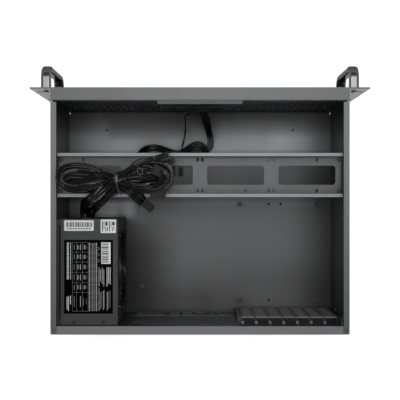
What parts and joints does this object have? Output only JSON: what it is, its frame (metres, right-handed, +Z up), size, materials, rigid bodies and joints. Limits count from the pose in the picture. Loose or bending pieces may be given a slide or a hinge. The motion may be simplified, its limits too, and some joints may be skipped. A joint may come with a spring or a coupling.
{
  "type": "rackmount server case",
  "caption": "Open short rackmount steel server case with front handles, drive beam, expansion slots and a fitted power supply with tied leads.",
  "frame": {"origin": "centre of the underside, at the height of the surface it stands on, midway between the front of the handles and the rear edge", "axes": "+X to the right of a person who faces the front, +Y from the front to the rear, +Z up"},
  "size_m": [0.4826, 0.386, 0.1924],
  "materials": {
    "chassis_paint": "fine matt dark grey powder coat on sheet steel",
    "beam_paint": "the same coat, seen flat to the light",
    "slot_cover_steel": "dark coated steel",
    "shield_steel": "dark coated thin steel",
    "handle_enamel": "glossy dark enamel",
    "screw_steel": "dark plated steel",
    "standoff_steel": "dark plated steel",
    "socket_steel": "plated steel",
    "board_laminate": "green solder mask",
    "black_plastic": "moulded black",
    "button_plastic": "moulded glossy black",
    "light_pipe": "clear moulding",
    "psu_paint": "black powder coat",
    "guard_wire": "dark plated wire",
    "grommet_rubber": "black",
    "board_parts": "bare",
    "label_film": "printed film, plain lines and blocks only",
    "sticker_film": "white film with plain bars",
    "lead_jacket": "black insulation",
    "tie_plastic": "black"
  },
  "bodies": {
    "chassis": {"base_tray": "chassis_paint", "beam_bracket_left": "beam_paint", "beam_bracket_right": "beam_paint", "beam_screws": "screw_steel", "board_standoffs": "standoff_steel", "button_guide": "black_plastic", "button_switches": "black_plastic", "cable_hank": "lead_jacket", "cable_tie": "tie_plastic", "connector_cpu": "black_plastic", "connector_mainboard": "black_plastic", "connectors_drives": "black_plastic", "cross_beam": "beam_paint", "front_connectors": "black_plastic", "front_hank": "lead_jacket", "front_panel": "chassis_paint", "front_switch_lead": "lead_jacket", "front_usb_lead": "lead_jacket", "handle_left": "handle_enamel", "handle_right": "handle_enamel", "handle_screws": "screw_steel", "inner_front_wall": "chassis_paint", "io_board": "board_laminate", "io_bracket": "chassis_paint", "io_headers": "black_plastic", "io_shield": "shield_steel", "lead_cpu": "lead_jacket", "lead_cpu_tail": "lead_jacket", "lead_drives": "lead_jacket", "lead_mainboard": "lead_jacket", "lead_sata": "lead_jacket", "led_light_pipes": "light_pipe", "psu_base": "psu_paint", "psu_board": "board_laminate", "psu_board_parts": "board_parts", "psu_cable_grommet": "grommet_rubber", "psu_cover": "psu_paint", "psu_fan_frame": "black_plastic", "psu_fan_guard": "guard_wire", "psu_inlet": "black_plastic", "psu_label": "label_film", "psu_mount_screws": "screw_steel", "psu_screws": "screw_steel", "psu_stickers": "sticker_film", "psu_switch_frame": "black_plastic", "rear_panel": "chassis_paint", "slot_cover_1": "slot_cover_steel", "slot_cover_2": "slot_cover_steel", "slot_cover_3": "slot_cover_steel", "slot_cover_4": "slot_cover_steel", "slot_cover_5": "slot_cover_steel", "slot_cover_6": "slot_cover_steel", "slot_cover_7": "slot_cover_steel", "slot_cover_screws": "screw_steel", "usb_sockets": "socket_steel", "wall_screws": "screw_steel"},
    "fan_rotor": {"psu_fan_rotor": "button_plastic"},
    "switch_rocker": {"psu_rocker": "button_plastic"},
    "power_key": {"power_button": "button_plastic"},
    "reset_key": {"reset_button": "button_plastic"}
  },
  "joints": [
    {"name": "psu_fan_spin", "type": "hinge", "parent": "chassis", "child": "fan_rotor", "pos_m": [0.1335, 0.1066, 0.0764], "axis": [1, 0, 0], "continuous": true},
    {"name": "psu_switch_rock", "type": "hinge", "parent": "chassis", "child": "switch_rocker", "pos_m": [0.145, 0.1816, 0.031], "axis": [1, 0, 0], "range_deg": [0, 14]},
    {"name": "power_button_press", "type": "slide", "parent": "chassis", "child": "power_key", "axis": [0, 1, 0], "range_m": [0, 0.0015], "stiffness_N_per_m": 150, "springref_m": -0.001},
    {"name": "reset_button_press", "type": "slide", "parent": "chassis", "child": "reset_key", "axis": [0, 1, 0], "range_m": [0, 0.0008], "stiffness_N_per_m": 150, "springref_m": -0.001}
  ]
}
